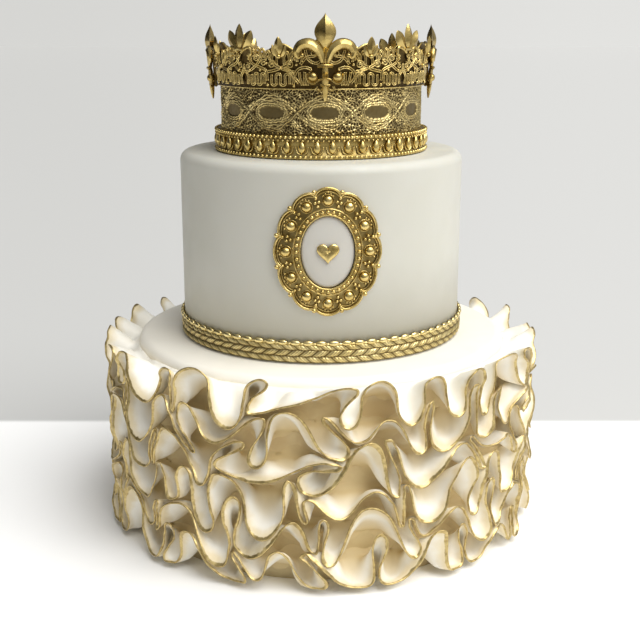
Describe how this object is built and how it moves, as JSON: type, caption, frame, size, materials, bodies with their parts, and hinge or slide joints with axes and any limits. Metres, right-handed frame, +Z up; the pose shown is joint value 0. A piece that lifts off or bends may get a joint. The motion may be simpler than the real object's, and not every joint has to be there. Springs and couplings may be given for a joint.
{
  "type": "princess cake",
  "caption": "Round two-tier cake with rows of gold-edged icing ruffles on the lower tier, a plaited border, an oval brooch with a heart and a filigree crown on top",
  "frame": {"origin": "middle of the flat underside of the lower tier", "axes": "+Z up, the brooch faces -Y, +X to the right"},
  "size_m": [0.2419, 0.2425, 0.2752],
  "materials": {
    "white_icing": "satin",
    "ruffle_icing": "satin, with gold brushed along the free edge",
    "plaque_icing": "satin",
    "gold": "brushed-on gold lustre with dark recesses"
  },
  "bodies": {
    "root": {"lower_tier": "white_icing", "upper_tier": "white_icing", "ruffle_row_1": "ruffle_icing", "ruffle_row_2": "ruffle_icing", "ruffle_row_3": "ruffle_icing", "ruffle_row_4": "ruffle_icing", "ruffle_row_5": "ruffle_icing", "ruffle_row_6": "ruffle_icing", "brooch_plaque": "plaque_icing", "braid_border": "gold", "brooch_frame": "gold", "brooch_heart": "gold", "crown_lace_band": "gold", "crown_foot_ring": "gold", "crown_gallery": "gold", "crown_large_lily_1": "gold", "crown_large_lily_2": "gold", "crown_large_lily_3": "gold", "crown_large_lily_4": "gold", "crown_small_lily_1": "gold", "crown_small_lily_2": "gold", "crown_small_lily_3": "gold", "crown_small_lily_4": "gold", "crown_bud_1": "gold", "crown_bud_2": "gold", "crown_bud_3": "gold", "crown_bud_4": "gold", "crown_bud_5": "gold", "crown_bud_6": "gold", "crown_bud_7": "gold", "crown_bud_8": "gold"}
  },
  "joints": []
}
